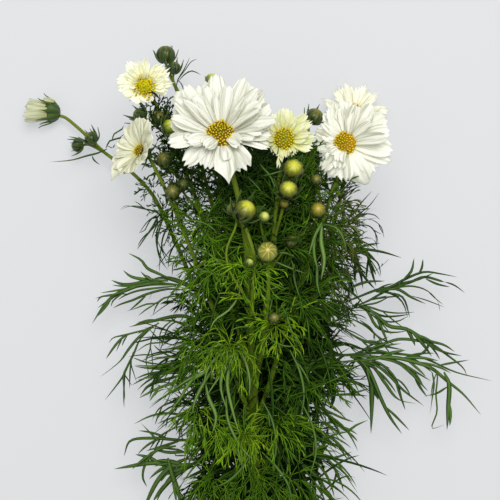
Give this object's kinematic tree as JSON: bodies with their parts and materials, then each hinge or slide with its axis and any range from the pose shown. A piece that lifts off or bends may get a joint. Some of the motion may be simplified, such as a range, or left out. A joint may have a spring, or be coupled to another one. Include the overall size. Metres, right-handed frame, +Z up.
{
  "type": "cosmos flower",
  "caption": "Cut, branched flowering stem of a white double cosmos, with open blooms, buds and feathery leaves, lying on a flat surface.",
  "frame": {"origin": "bottom centre of the bounding box, on the surface the stem lies on", "axes": "+Y from the cut end towards the blooms, +Z up from the surface the stem lies on, +X across, to the right seen from above with the blooms away from you"},
  "size_m": [0.3148, 0.4382, 0.1359],
  "materials": {
    "petal": "soft matt white petal, finely ribbed along its length",
    "young_petal": "soft matt cream petal, yellow-green towards its base",
    "disc": "grainy golden yellow florets with brown tips",
    "calyx": "satin dark green",
    "bud": "satin yellow-green with darker stripes",
    "stem": "satin fresh green stem with fine ribs",
    "leaf": "satin green with a paler midrib"
  },
  "bodies": {
    "root": {"back_bloom_calyx": "calyx", "back_bloom_disc": "disc", "back_bloom_petals": "petal", "branch_front": "stem", "branch_front_low": "stem", "branch_left": "stem", "branch_left_back": "stem", "branch_right": "stem", "branch_right_back": "stem", "branch_right_front": "stem", "branch_top": "stem", "branch_top_left": "stem", "bud_front": "bud", "bud_front_star": "bud", "bud_left_lower": "bud", "bud_left_small": "bud", "bud_left_upper": "bud", "bud_middle_lower": "bud", "bud_middle_upper": "bud", "bud_right": "bud", "bud_right_upper": "bud", "bud_top": "bud", "front_bloom_calyx": "calyx", "front_bloom_disc": "disc", "front_bloom_inner_petals": "petal", "front_bloom_petal_1": "petal", "front_bloom_petal_2": "petal", "front_bloom_petal_3": "petal", "front_bloom_petal_4": "petal", "front_bloom_petal_5": "petal", "front_bloom_petal_6": "petal", "front_bloom_petal_7": "petal", "front_bloom_petal_8": "petal", "half_open_bloom_calyx": "calyx", "half_open_bloom_petals": "young_petal", "leaf_bottom_left": "leaf", "leaf_bottom_right": "leaf", "leaf_front": "leaf", "leaf_left_high": "leaf", "leaf_left_long": "leaf", "leaf_left_low": "leaf", "leaf_middle_left": "leaf", "leaf_middle_right": "leaf", "leaf_right_high": "leaf", "leaf_right_long": "leaf", "leaf_right_low": "leaf", "leaf_top_right": "leaf", "left_bloom_calyx": "calyx", "left_bloom_disc": "disc", "left_bloom_petals": "petal", "main_stem": "stem", "right_bloom_calyx": "calyx", "right_bloom_disc": "disc", "right_bloom_petals": "petal", "young_bloom_left_calyx": "calyx", "young_bloom_left_disc": "disc", "young_bloom_left_petals": "young_petal", "young_bloom_right_calyx": "calyx", "young_bloom_right_disc": "disc", "young_bloom_right_petals": "young_petal"}
  },
  "joints": []
}
